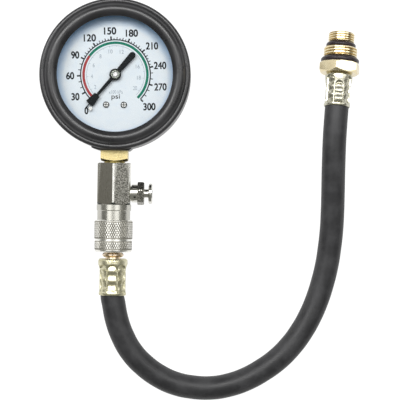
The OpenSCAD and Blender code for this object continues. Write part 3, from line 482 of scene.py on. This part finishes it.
# a piece's own axes are x, y and the distance down the stem, along the adapter or out along the release valve
stemPlace = Matrix(((1, 0, 0, 0), (0, 0, -1, 0), (0, 1, 0, stemHeight), (0, 0, 0, 1)))
valveAt = -0.0629  # m along Y
valvePlace = Matrix(((0, 0, 1, 0), (0, 1, 0, valveAt), (-1, 0, 0, stemHeight), (0, 0, 0, 1)))
adapterAt = (119.9, 10.15, 10.989)  # mm
pitch, yaw = math.radians(7), math.radians(3.5)
along = Vector((math.sin(yaw) * math.cos(pitch), math.cos(yaw) * math.cos(pitch), -math.sin(pitch)))
across = Vector((math.cos(yaw), -math.sin(yaw), 0))
upward = across.cross(along)
adapterTurn = Matrix((across, upward, along)).transposed().to_4x4()
adapterPlace = Matrix.Translation(Vector(adapterAt) * mm) @ adapterTurn


def makePiece(name, verts, faces, place, body, slotName, finishNames, sharp=30, faceFinish=None):
    mesh = bpy.data.meshes.new(name)
    mesh.from_pydata([place @ (Vector(v) * mm) for v in verts], [], faces)
    for label in finishNames:
        mesh.materials.append(finishes[label])
    if faceFinish is not None:
        mesh.polygons.foreach_set("material_index", faceFinish)
    tidy = bmesh.new()
    tidy.from_mesh(mesh)
    bmesh.ops.remove_doubles(tidy, verts=tidy.verts, dist=1e-7)
    bmesh.ops.dissolve_degenerate(tidy, edges=tidy.edges, dist=1e-7)
    bmesh.ops.recalc_face_normals(tidy, faces=tidy.faces)
    tidy.to_mesh(mesh)
    tidy.free()
    mesh.polygons.foreach_set("use_smooth", [True] * len(mesh.polygons))
    mesh.set_sharp_from_angle(angle=math.radians(sharp))
    obj = bpy.data.objects.new(name, mesh)
    scene.collection.objects.link(obj)
    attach(obj, body)
    return obj


def ringStack(rows, columns, closed=True):
    # each row is (distance along the axis, one radius or a radius for each column)
    verts, faces = [], []
    for s, radius in rows:
        for k in range(columns):
            r = radius if isinstance(radius, (int, float)) else radius[k]
            turn = 2 * math.pi * k / columns
            verts.append((r * math.cos(turn), r * math.sin(turn), s))
    count = len(rows)
    for i in range(count if closed else count - 1):
        j = (i + 1) % count
        for k in range(columns):
            m = (k + 1) % columns
            a, b, c, d = i * columns + k, i * columns + m, j * columns + m, j * columns + k
            if (i + k) % 2 == 0:
                faces += [(a, b, c), (a, c, d)]
            else:
                faces += [(a, b, d), (b, c, d)]
    return verts, faces


def joinParts(parts):
    verts, faces = [], []
    for more, skin in parts:
        faces += [tuple(i + len(verts) for i in face) for face in skin]
        verts += more
    return verts, faces


# knurled sleeve

sleeveCut = {
    "start": 77.3,       # mm down the stem
    "around": 52,        # diamonds around
    "pitch": 2.25,       # mm along
    "depth": 0.19,
    "flat": 0.64,        # share of each diamond that is flat on top
    "radii": (10.25, 10.05),
    "zones": ((0.62, 10.07), (11.2, 15.9)),
    "groove": (10.2, 11.1, 0.45),  # from, to, depth
    # distance and radius
    "bore": ((0, 8.9), (7.7, 8.9), (7.7, 7.1), (13.7, 7.1), (13.7, 8.5), (17.2, 8.5)),
    # distance and how far under the big and the small radius
    "tail": ((0.3, 0.19), (0, 0.5)),
    "nose": ((17.2, 0.7), (16.95, 0.36), (16.65, 0.12), (16.3, 0), (16.1, 0)),
    "noseFrom": 16.0,
}


def knurl(zone, radius):
    # flat-topped diamonds standing on a lattice of groove crossings
    first, last = zone
    columns, steps = 2 * sleeveCut["around"], round(2 * (last - first) / sleeveCut["pitch"])
    low, flat = radius - sleeveCut["depth"], sleeveCut["flat"]
    # the mask marks with 1 the faces that get painted shade: the flanks and the end tips
    verts, faces, shadeMask = [], [], []

    def point(k, m, r):
        turn = 2 * math.pi * k / columns
        verts.append((r * math.cos(turn), r * math.sin(turn), first + (last - first) * m / steps))
        return len(verts) - 1

    lattice = [[point(k, m, low) for k in range(columns)] for m in range(steps + 1)]
    for m in range(steps + 1):
        for k in range((m + 1) % 2, columns, 2):
            left, right = lattice[m][k - 1], lattice[m][(k + 1) % columns]
            if m in (0, steps):
                tip = lattice[1 if m == 0 else steps - 1][k]
                faces += [(left, lattice[m][k], tip), (lattice[m][k], right, tip)]
                shadeMask += [1, 1]
                continue
            ring = [right, lattice[m + 1][k], left, lattice[m - 1][k]]
            top = [point(k + flat, m, radius), point(k, m + flat, radius),
                   point(k - flat, m, radius), point(k, m - flat, radius)]
            faces.append(tuple(top))
            faces += [(ring[i], ring[(i + 1) % 4], top[(i + 1) % 4], top[i]) for i in range(4)]
            shadeMask += [0, 1, 1, 1, 1]
    return verts, faces, shadeMask


bigR, smallR = sleeveCut["radii"]
deep = sleeveCut["depth"]
(bigFrom, bigTo), (smallFrom, smallTo) = sleeveCut["zones"]
backRows = [(bigFrom, bigR - deep)] + [(s, bigR - under) for s, under in sleeveCut["tail"]]
backRows += list(sleeveCut["bore"]) + [(s, smallR - under) for s, under in sleeveCut["nose"]]
backRows += [(sleeveCut["noseFrom"], smallR - deep), (smallTo, smallR - deep)]
grooveFrom, grooveTo, grooveDeep = sleeveCut["groove"]
grooveRows = [(bigTo, bigR - deep), (grooveFrom, bigR - grooveDeep), (grooveTo, bigR - grooveDeep),
              (grooveTo, smallR - deep), (smallFrom, smallR - deep)]
columns = 2 * sleeveCut["around"]
sleeveParts = [ringStack(backRows, columns, False), ringStack(grooveRows, columns, False)]
sleeveShadeMask = [0] * sum(len(faces) for _, faces in sleeveParts)
for zone, radius in zip(sleeveCut["zones"], sleeveCut["radii"]):
    verts, faces, shadeMask = knurl(zone, radius)
    sleeveParts.append((verts, faces))
    sleeveShadeMask += shadeMask
verts, faces = joinParts(sleeveParts)
verts = [(x, y, s + sleeveCut["start"]) for x, y, s in verts]
sleeveKnurl = makePiece("sleeveKnurl", verts, faces, stemPlace, "sleeve", "bright_nickel",
                        ["knurlAndHighlightNickel", "knurlPaintedShadeNickel"], 18, sleeveShadeMask)
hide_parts("coupler_sleeve")
print("sleeve knurled")


# ferrules: round shoulder, pressed panels with arched tops, flared mouth

gaugeCrimp = {"start": 98.0, "length": 19.6, "shoulder": 7.9, "waist": 7.1, "mouth": 7.35, "hose": 6.5,
              "arch": (3.0, 3.0), "bumps": (6.3, 5.3)}
adapterCrimp = {"start": -7.2, "length": 18.0, "shoulder": 7.25, "waist": 6.5, "mouth": 7.05, "hose": 6.5,
                "arch": (4.6, 0.9), "bumps": (7.4, 4.4)}
crimpForm = {
    "panels": 8, "columns": 192,
    "closeRows": (0.0, 0.12, 0.3, 0.6, 1.0), "lastRows": (0.35, 0.12, 0),  # mm from either end
    "evenFrom": 1.3, "rowStep": 0.25,
    "swell": 0.3,                 # mm, ridges over the waist
    "shoulderRun": (2.4, 6.0),    # mm from the shoulder's end
    "flareRun": (4.5, 1.5),       # mm from the mouth
    "rounding": (0.75, 0.3),      # mm, at the shoulder and at the mouth
    "shoulderRound": (-0.1, 1.0), "mouthRound": (0.5, 0.1),
    "wave": 0.26, "sink": 0.3,    # mm, bumps in a panel and how far it is pressed in
    "archRise": 2.0, "archBend": 2.2, "pressRun": 0.9, "pressEnd": (2.4, 1.2),
    "ridge": (0.74, 0.95),        # share of a panel's half width
    "bore": 4.02, "floor": 1.5, "grip": 0.63, "gripFrom": 2.5, "slack": 0.02,
}


def ease(a, b, x):
    f = min(1.0, max(0.0, (x - a) / (b - a)))
    return f * f * (3 - 2 * f)


def crimped(style):
    form, h, rows = crimpForm, style["length"], []
    columns, swell = form["columns"], form["swell"]
    (runFrom, runTo), (flareFrom, flareTo) = form["shoulderRun"], form["flareRun"]
    (endFrom, endTo), (lipFrom, lipTo) = form["pressEnd"], form["mouthRound"]
    firstBump, bumpPitch = style["bumps"]
    half = 180 / form["panels"]
    steps = list(form["closeRows"]) + [h - back for back in form["lastRows"]]
    steps += [form["evenFrom"] + form["rowStep"] * i for i in range(int((h - 2) / form["rowStep"]))]
    for s in sorted(set(round(v, 3) for v in steps if v <= h)):
        plain = style["shoulder"] + (style["waist"] + swell - style["shoulder"]) * ease(runFrom, runTo, s)
        plain += (style["mouth"] - style["waist"] - swell) * ease(h - flareFrom, h - flareTo, s)
        rounded = form["rounding"][0] * (1 - ease(*form["shoulderRound"], s))
        plain -= rounded + form["rounding"][1] * ease(h - lipFrom, h + lipTo, s)
        wave = form["wave"] * math.cos(2 * math.pi * (s - firstBump) / bumpPitch)
        radii = []
        for k in range(columns):
            turn = 360 * k / columns - 90
            number = round(turn / (2 * half))
            off = abs(turn - number * 2 * half) / half  # 0 in a panel's middle, 1 on the ridge beside it
            start = style["arch"][number % 2] + form["archRise"] * off ** form["archBend"]
            press = ease(start, start + form["pressRun"], s) * (1 - ease(h - endFrom, h - endTo, s))
            panel = style["waist"] - form["sink"] + wave * (1 - off ** 4)
            inside = 1 - ease(*form["ridge"], off)
            radii.append(plain + (min(plain, panel) - plain) * press * inside)
        rows.append((s, radii))
    hose, bore, floor = style["hose"], form["bore"], form["floor"]
    gripped = hose - form["grip"]
    rows += [(h, hose + form["slack"]), (h - form["gripFrom"], gripped)]
    rows += [(floor, gripped), (floor, bore), (0, bore)]
    return ringStack(rows, columns)


verts, faces = crimped(gaugeCrimp)
verts = [(x, y, gaugeCrimp["start"] + s) for x, y, s in verts]
gaugeFerrule = makePiece("gaugeFerrule", verts, faces, stemPlace, "line", "ferrule_zinc", ["ferruleZinc"], 34)
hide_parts("gauge_ferrule")
verts, faces = crimped(adapterCrimp)
verts = [(x, y, adapterCrimp["start"] - s) for x, y, s in verts]
adapterFerrule = makePiece("adapterFerrule", verts, faces, adapterPlace, "line", "ferrule_zinc",
                           ["paleZinc"], 34)
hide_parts("adapter_ferrule")
print("ferrules crimped")


# adapter: the CAD piece with its two plain threads cut

threadCut = {
    "large": {"from": 1.5, "to": 6.95, "radius": 9.0, "pitch": 1.5, "depth": 0.8, "turned": 0.6},
    "small": {"from": 9.65, "to": 15.1, "radius": 7.0, "pitch": 1.25, "depth": 0.66, "turned": 0.7},
}
threadForm = {
    "columns": 90, "perTurn": 24,
    "flank": 3.9, "root": 0.15,  # steep flanks, broad crest
    "sunk": 0.45,                # share of the depth under which a face gets painted shade
    "plainEnd": 0.3,             # mm at either end that stay bright
    "slack": 0.01,
}


def cutThread(style):
    a, b, columns = style["from"], style["to"], threadForm["columns"]
    count = round((b - a) / style["pitch"] * threadForm["perTurn"])
    rows, sunk = [], style["radius"] - threadForm["sunk"] * style["depth"]
    for i in range(count + 1):
        s = a + (b - a) * i / count
        limit = style["radius"] - style["turned"] + min(s - a, b - s, style["turned"])
        radii = []
        for k in range(columns):
            way = (s / style["pitch"] + k / columns) % 1
            crest = min(1.0, max(0.0, threadForm["flank"] * min(way, 1 - way) - threadForm["root"]))
            cut = style["radius"] - style["depth"] * (1 - crest)
            radii.append(limit if i in (0, count) else min(limit, cut))
        rows.append((s, radii))
    verts, faces = ringStack(rows, columns, False)
    deep = [math.hypot(x, y) < sunk for x, y, _ in verts]
    edge = [min(s - a, b - s) < threadForm["plainEnd"] for _, _, s in verts]
    # painted shade for faces deep in the thread, except near its ends
    shadeMask = [1 if sum(deep[i] for i in face) > 1 and not edge[face[0]] else 0 for face in faces]
    return verts, faces, shadeMask


def partFaces(nodeName, place, keep):
    # the node's faces that pass the test, in mm of the piece's own axes
    inverse, mesh = place.inverted(), nodes[nodeName].data
    points = [(inverse @ v.co) / mm for v in mesh.vertices]
    faces = []
    for poly in mesh.polygons:
        middle = sum((points[i] for i in poly.vertices), Vector()) / len(poly.vertices)
        if keep(middle.z, [points[i] for i in poly.vertices]):
            faces.append(tuple(poly.vertices))
    return [tuple(p) for p in points], faces


def besideThreads(s, corners):
    slack = threadForm["slack"]
    for style in threadCut.values():
        rim = style["radius"] - style["turned"] - 2 * slack
        within = style["from"] - slack < s < style["to"] + slack
        if within and all(math.hypot(c.x, c.y) > rim for c in corners):
            return False
    return True


verts, faces = partFaces("adapter", adapterPlace, besideThreads)
adapterShadeMask = [0] * len(faces)
for style in threadCut.values():
    more, skin, shadeMask = cutThread(style)
    faces += [tuple(i + len(verts) for i in face) for face in skin]
    verts += more
    adapterShadeMask += shadeMask
adapterBody = makePiece("adapterBody", verts, faces, adapterPlace, "line", "brass",
                        ["adapterBrass", "threadPaintedShadeBrass"], 26, adapterShadeMask)
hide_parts("adapter")
print("adapter threaded")


# springs: round wire wound into a coil

springWire = {
    "releaseCoil": {"node": "release_spring", "place": valvePlace, "body": "gauge", "joint": "button_press",
                    "stroke": 2.0, "from": 10.5, "length": 3.5, "radius": 1.85, "wire": 0.25, "turns": 3.5},
    "sleeveCoil": {"node": "sleeve_spring", "place": stemPlace, "body": "gauge", "joint": "sleeve_slide",
                   "stroke": 4.0, "from": 78.4, "length": 6.6, "radius": 7.925, "wire": 0.35, "turns": 3.5},
    "checkCoil": {"node": "check_spring", "place": adapterPlace, "body": "line", "joint": "check_lift",
                  "stroke": 1.5, "from": 9.1, "length": 4.0, "radius": 1.4, "wire": 0.2, "turns": 4},
}


def coilTube(style, sides=10, perTurn=28):
    steps = round(style["turns"] * perTurn)
    verts, faces = [], []
    for i in range(steps + 1):
        turn = 2 * math.pi * style["turns"] * i / steps
        middle = style["from"] + style["wire"] + (style["length"] - 2 * style["wire"]) * i / steps
        for k in range(sides):
            lean = 2 * math.pi * k / sides
            r = style["radius"] + style["wire"] * math.cos(lean)
            verts.append((r * math.cos(turn), r * math.sin(turn), middle + style["wire"] * math.sin(lean)))
    for i in range(steps):
        for k in range(sides):
            m = (k + 1) % sides
            faces.append((i * sides + k, i * sides + m, (i + 1) * sides + m, (i + 1) * sides + k))
    last = steps * sides
    faces += [tuple(range(sides)), tuple(range(last + sides - 1, last - 1, -1))]
    return verts, faces


for name, style in springWire.items():
    wire = makePiece(name, *coilTube(style), style["place"], style["body"], "screw_steel", ["screwSteel"], 40)
    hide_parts(style["node"])
    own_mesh(wire)
print("springs wound")


# print on the dial

dialPrint = {
    "height": 20.02,                     # mm, just over the enamel
    "thick": 0.02,
    "tilt": 1.0,                         # degrees, object axes against the picture
    "zeroTurn": 230,                     # degrees, where 0 lies
    "zeroStep": 19.9,                    # from there to 30
    "scaleTurn": 210.1,                  # where 30 lies
    "scaleStep": 28.28,                  # for every 30 more
    "ring": (18.22, 18.84),
    "tick": 20.0,
    "tickWidth": (0.44, 0.85),           # short and long
    "tickStep": 0.5,                     # how much a longer tick stands out
    "bandRadius": (16.3, 17.65),
    "bandTurns": (224, 144, -46.5),      # red to green, degrees
    "letterTilt": math.radians(2),
    "numberHeight": 4.0,
    "numberWidth": 6.6,                  # of three digits
    "digitShare": 0.34, "gapShare": 0.02,
    "numberWeight": 0.165,
    "unit": {"at": (0.3, -12.0), "height": 3.2, "width": 4.5, "weight": 0.03},
    "overlap": 0.05,
}
innerScale = {
    "ring": (15.3, 15.5), "tick": (0.5, 0.9), "tickWidth": 0.16,
    "lastTurn": -34.5, "stepTurn": 13.65,  # degrees
    "numbersAt": 12.6, "numberHeight": 2.1, "digitWidth": 1.05,
    "unit": {"at": (0.3, -9.2), "height": 1.9, "width": 7.4},
}


def scaleAngle(value):
    if value < 30:
        image = dialPrint["zeroTurn"] - dialPrint["zeroStep"] * value / 30
    else:
        image = dialPrint["scaleTurn"] - dialPrint["scaleStep"] * (value - 30) / 30
    return math.radians(image + dialPrint["tilt"])


def slab(outline, z, thick):
    n = len(outline)
    verts = [(x, y, z) for x, y in outline] + [(x, y, z + thick) for x, y in outline]
    faces = [tuple(range(n - 1, -1, -1)), tuple(range(n, 2 * n))]
    faces += [(i, (i + 1) % n, (i + 1) % n + n, i + n) for i in range(n)]
    return verts, faces


def arcSlab(inner, outer, start, stop, z, thick):
    steps = max(2, int(abs(math.degrees(stop - start)) / 2))
    turn = [start + (stop - start) * i / steps for i in range(steps + 1)]
    verts, faces = [], []
    for a in turn:
        for r, h in ((inner, z), (outer, z), (outer, z + thick), (inner, z + thick)):
            verts.append((r * math.cos(a), r * math.sin(a), h))
    for i in range(steps):
        for k in range(4):
            a, b = 4 * i + k, 4 * i + (k + 1) % 4
            faces.append((a, b, b + 4, a + 4))
    last = 4 * steps
    faces += [(3, 2, 1, 0), (last, last + 1, last + 2, last + 3)]
    return verts, faces


def radialBar(angle, inner, outer, width, z, thick):
    c, s, half = math.cos(angle), math.sin(angle), width / 2
    corners = ((inner, -half), (outer, -half), (outer, half), (inner, half))
    return slab([(r * c - w * s, r * s + w * c) for r, w in corners], z, thick)


def lettering(body, height, width, at, weight=0.0):
    # built-in font, scaled to the given height and width in mm, its strokes widened by weight on either side
    text = bpy.data.curves.new("word", "FONT")
    text.body = body
    text.align_x, text.align_y = "CENTER", "CENTER"
    holder = bpy.data.objects.new("word", text)
    scene.collection.objects.link(holder)
    bpy.context.view_layer.update()
    mesh = bpy.data.meshes.new_from_object(holder.evaluated_get(bpy.context.evaluated_depsgraph_get()))
    bpy.data.objects.remove(holder)
    bpy.data.curves.remove(text)
    raw = np.array([v.co for v in mesh.vertices])
    low, high = raw.min(axis=0), raw.max(axis=0)
    scale = np.array([(width - 2 * weight) / (high[0] - low[0]), (height - 2 * weight) / (high[1] - low[1])])
    flat = (raw[:, :2] - (low[:2] + high[:2]) / 2) * scale
    faces = [tuple(p.vertices) for p in mesh.polygons]
    bpy.data.meshes.remove(mesh)
    edgeUse = {(a, b) for face in faces for a, b in zip(face, face[1:] + face[:1])}
    sides = [(a, b) for a, b in edgeUse if (b, a) not in edgeUse]
    outward = np.zeros_like(flat)
    for a, b in sides:
        step = flat[b] - flat[a]
        normal = np.array([step[1], -step[0]]) / max(1e-9, math.hypot(*step))
        outward[a] += normal
        outward[b] += normal
    size = np.maximum(0.4, np.linalg.norm(outward, axis=1, keepdims=True))  # so that sharp corners stay short
    flat = flat + weight * outward / size
    c, s = math.cos(dialPrint["letterTilt"]), math.sin(dialPrint["letterTilt"])
    z, n = dialPrint["height"], len(flat)
    top = [(at[0] + x * c - y * s, at[1] + x * s + y * c, z + dialPrint["thick"]) for x, y in flat]
    verts = top + [(x, y, z) for x, y, _ in top]
    skin = faces + [tuple(i + n for i in reversed(face)) for face in faces]
    skin += [(b, a, a + n, b + n) for a, b in sides]
    return verts, skin


z, thick = dialPrint["height"], dialPrint["thick"]
flatPlace = Matrix.Identity(4)
inner, outer = dialPrint["ring"]
parts = [arcSlab(inner, outer, scaleAngle(0), scaleAngle(300), z, thick)]
for value in range(0, 301, 5):
    major, ten = value % 30 == 0, value % 10 == 0
    if not (ten or 90 <= value <= 240) or 0 < value < 30:
        continue
    reach = dialPrint["tick"] + dialPrint["tickStep"] * (major - (not ten))
    parts.append(radialBar(scaleAngle(value), outer - dialPrint["overlap"], reach,
                           dialPrint["tickWidth"][major], z, thick))
makePiece("scalePrint", *joinParts(parts), flatPlace, "gauge", "pointer_black", ["scaleInk"])

inner, outer = dialPrint["bandRadius"]
turns = [math.radians(a + dialPrint["tilt"]) for a in dialPrint["bandTurns"]]
redBand, greenBand = (arcSlab(inner, outer, a, b, z, thick) for a, b in zip(turns, turns[1:]))
verts, faces = joinParts([redBand, greenBand])
makePiece("bandPrint", verts, faces, flatPlace, "gauge", "dial_enamel", ["redInk", "greenInk"],
          faceFinish=[0] * len(redBand[1]) + [1] * len(greenBand[1]))

# numbers: where each one's middle lies, mm from the pointer's axis
numberAt = {
    0: (-15.1, -19.4), 30: (-21.1, -12.1), 60: (-24.1, -1.0), 90: (-21.6, 10.1),
    120: (-14.0, 19.3), 150: (-3.3, 23.2), 180: (8.3, 22.2), 210: (19.1, 15.6),
    240: (23.6, 5.3), 270: (24.0, -6.1), 300: (18.3, -16.7),
}
parts = []
for value, at in numberAt.items():
    digits = len(str(value))
    width = dialPrint["numberWidth"] * (digits * dialPrint["digitShare"] - dialPrint["gapShare"])
    parts.append(lettering(str(value), dialPrint["numberHeight"], width, at, dialPrint["numberWeight"]))
unit = dialPrint["unit"]
parts.append(lettering("psi", unit["height"], unit["width"], unit["at"], unit["weight"]))
makePiece("numberPrint", *joinParts(parts), flatPlace, "gauge", "pointer_black", ["scaleInk"])

inner, outer = innerScale["ring"]
parts = [arcSlab(inner, outer, scaleAngle(0), scaleAngle(300), z, thick)]
for value in range(0, 21):
    angle = math.radians(innerScale["lastTurn"] + dialPrint["tilt"] + innerScale["stepTurn"] * (20 - value))
    even = value % 2 == 0
    parts.append(radialBar(angle, inner - innerScale["tick"][even], inner + dialPrint["overlap"],
                           innerScale["tickWidth"], z, thick))
    if value and even:
        at = (innerScale["numbersAt"] * math.cos(angle), innerScale["numbersAt"] * math.sin(angle))
        width = innerScale["digitWidth"] * len(str(value))
        parts.append(lettering(str(value), innerScale["numberHeight"], width, at))
unit = innerScale["unit"]
parts.append(lettering("x100 kPa", unit["height"], unit["width"], unit["at"]))
makePiece("innerPrint", *joinParts(parts), flatPlace, "gauge", "dial_enamel", ["paleInk"])
print("dial printed")


# hose

hoseLine = {
    "route": [
        (0, -117.6, 13), (0.8, -122.1, 13), (2.6, -130.7, 12.7), (5.9, -139.6, 12.1),
        (10.9, -148.1, 11.3), (17.6, -155.1, 10.4), (25.6, -160.8, 9.4), (34.5, -164.8, 8.4),
        (44, -166.7, 7.5), (54, -167, 6.9), (63.5, -165.3, 6.6), (72.5, -162, 6.55),
        (81, -157.2, 6.55), (89.1, -151.2, 6.55), (95.9, -144.2, 6.55), (101.7, -136.2, 6.55),
        (106.4, -127.6, 6.55), (110.1, -118.6, 6.55), (112.9, -109.2, 6.8), (115, -99.7, 7.3),
        (116.3, -90, 8), (117.1, -80.3, 9), (117.35, -70.6, 10.2), (117.35, -60.9, 11.6),
        (117.25, -51.2, 12.9), (117.25, -41.6, 14.2), (117.4, -32, 14.9), (117.8, -23.6, 14.9),
        (118.373, -14.816, 14.06),
    ],
    "radius": 6.36,
    "lead": 1.8,  # it leaves its ferrule straight down the stem
}
hoseCurve = bpy.data.curves.new("hoseTube", "CURVE")
hoseCurve.dimensions = "3D"
hoseCurve.bevel_depth = hoseLine["radius"] * mm
hoseCurve.bevel_resolution = 10
hoseCurve.resolution_u = 6
spline = hoseCurve.splines.new("BEZIER")
spline.bezier_points.add(len(hoseLine["route"]) - 1)
for point, at in zip(spline.bezier_points, hoseLine["route"]):
    point.co = Vector(at) * mm
    point.handle_left_type = point.handle_right_type = "AUTO"
outlet = spline.bezier_points[0]
outlet.handle_left_type = outlet.handle_right_type = "FREE"
lead = Vector((0, hoseLine["lead"] * mm, 0))
outlet.handle_left, outlet.handle_right = outlet.co + lead, outlet.co - lead
hoseTube = bpy.data.objects.new("hoseTube", hoseCurve)
scene.collection.objects.link(hoseTube)
hoseCurve.materials.append(finishes["hoseRubber"])
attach(hoseTube, "line")
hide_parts("hose")
stretches = zip(hoseLine["route"], hoseLine["route"][1:])
hoseLength = sum((Vector(b) - Vector(a)).length for a, b in stretches) * mm
print("hose laid, metres:", round(hoseLength, 4))


# floor

floorMesh = bpy.data.meshes.new("paleFloor")
half, low = studio["floorHalf"], -studio["floorDrop"]
corners = [(x * half, y * half, low) for x, y in ((-1, -1), (1, -1), (1, 1), (-1, 1))]
floorMesh.from_pydata(corners, [], [(0, 1, 2, 3)])
floorObj = bpy.data.objects.new("paleFloor", floorMesh)
scene.collection.objects.link(floorObj)
floorMat = bpy.data.materials.new("palePaper")
floorMat.use_nodes = True
floorShader = floorMat.node_tree.nodes["Principled BSDF"]
floorShader.inputs["Base Color"].default_value = tint(*[studio["floorTone"]] * 3)
floorRays = floorMat.node_tree.nodes.new("ShaderNodeLightPath")
floorLight = mixColor(floorMat.node_tree, floorRays.outputs["Is Camera Ray"],
                      tint(*[studio["floorBounce"]] * 3), tint(*[studio["floorGlow"]] * 3))
floorMat.node_tree.links.new(floorLight, floorShader.inputs["Emission Color"])
floorShader.inputs["Emission Strength"].default_value = 1.0
floorShader.inputs["Roughness"].default_value = 0.9
floorMesh.materials.append(floorMat)
